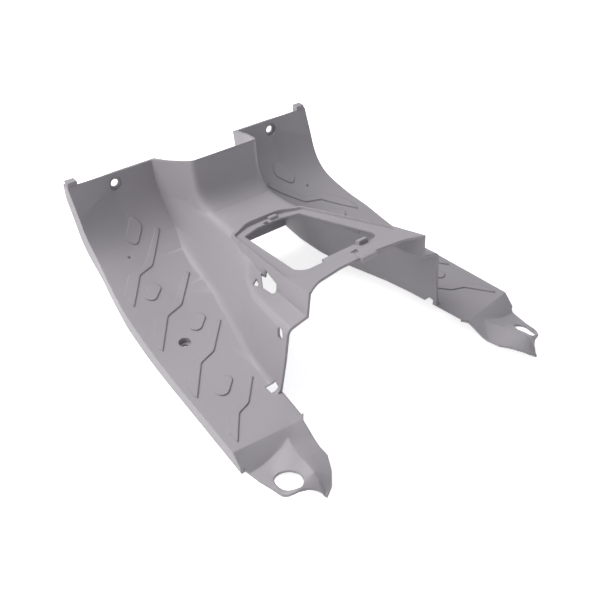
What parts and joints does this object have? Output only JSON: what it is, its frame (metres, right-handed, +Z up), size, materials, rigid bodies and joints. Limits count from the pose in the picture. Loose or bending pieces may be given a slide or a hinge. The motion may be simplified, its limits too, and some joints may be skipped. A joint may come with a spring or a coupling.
{
  "type": "scooter footboard",
  "caption": "One-piece moulded scooter footboard: side floors with raised bands, curled front panel, central tunnel with a cover opening, and rear arms.",
  "frame": {"origin": "middle of the part's box in plan, on the plane that its edges rest on", "axes": "+Y forward to the curled front panel, +X to the rider's right, +Z up"},
  "size_m": [0.402, 0.4576, 0.1551],
  "materials": {
    "body": "injection-moulded, light warm grey with a lilac tinge, satin"
  },
  "bodies": {
    "root": {"footboard": "body"}
  },
  "joints": []
}
